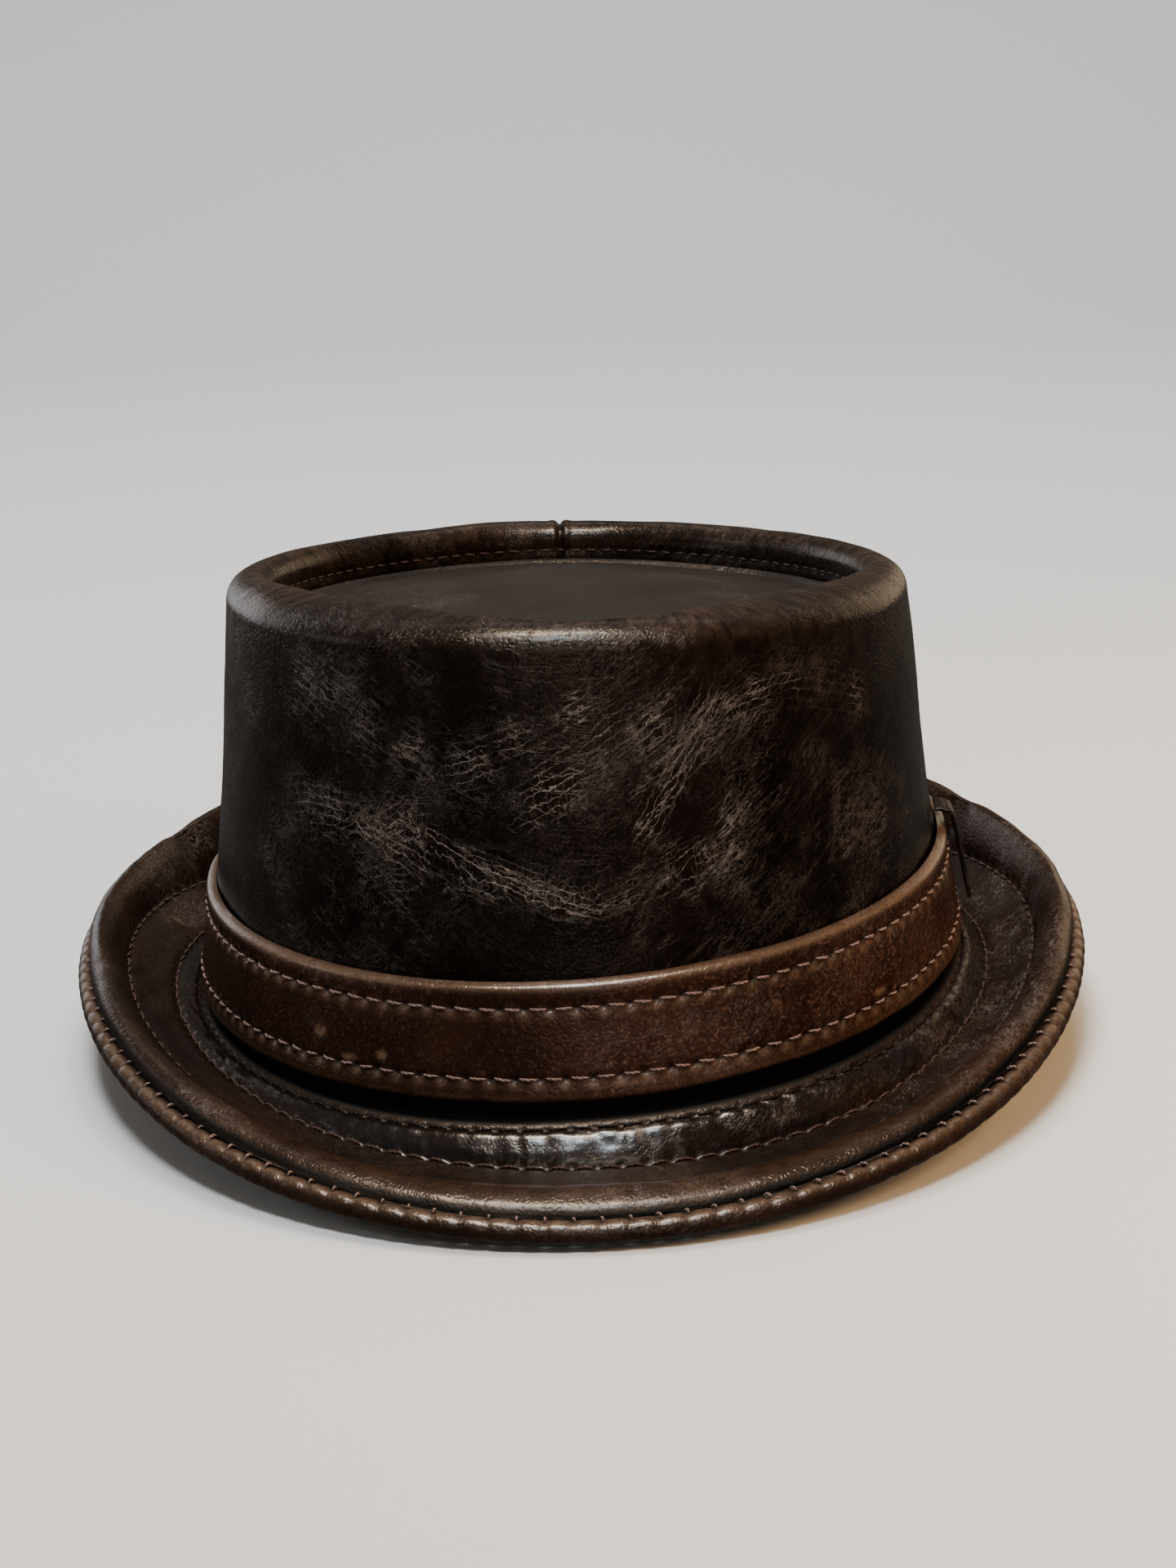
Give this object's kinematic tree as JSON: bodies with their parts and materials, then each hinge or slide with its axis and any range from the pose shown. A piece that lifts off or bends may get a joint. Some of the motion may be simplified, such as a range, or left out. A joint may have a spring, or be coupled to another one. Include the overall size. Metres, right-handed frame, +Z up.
{
  "type": "porkpie hat",
  "caption": "Leather porkpie hat with a flat sunken crown, rolled crown rim, stitched hat band and a layered, stitched brim with a rolled edge turned up at the sides and back",
  "frame": {"origin": "middle of the hat's box on the plane it rests on", "axes": "+Z up, front of the hat toward -Y, wearer's left toward +X"},
  "size_m": [0.2392, 0.285, 0.113],
  "materials": {
    "crown_leather": "waxed, semi-gloss, finely creased",
    "tip_leather": "waxed, glossy",
    "brim_leather": "waxed, semi-gloss, creased near the crown",
    "lip_leather": "waxed, lighter on the fold",
    "band_leather": "waxed, satin, lighter on the rolled edges"
  },
  "bodies": {
    "root": {"crown_side": "crown_leather", "crown_rim": "crown_leather", "crown_tip": "tip_leather", "brim_upper": "brim_leather", "brim_under": "brim_leather", "brim_edge_lip": "lip_leather", "hat_band": "band_leather", "band_keeper": "band_leather"}
  },
  "joints": []
}
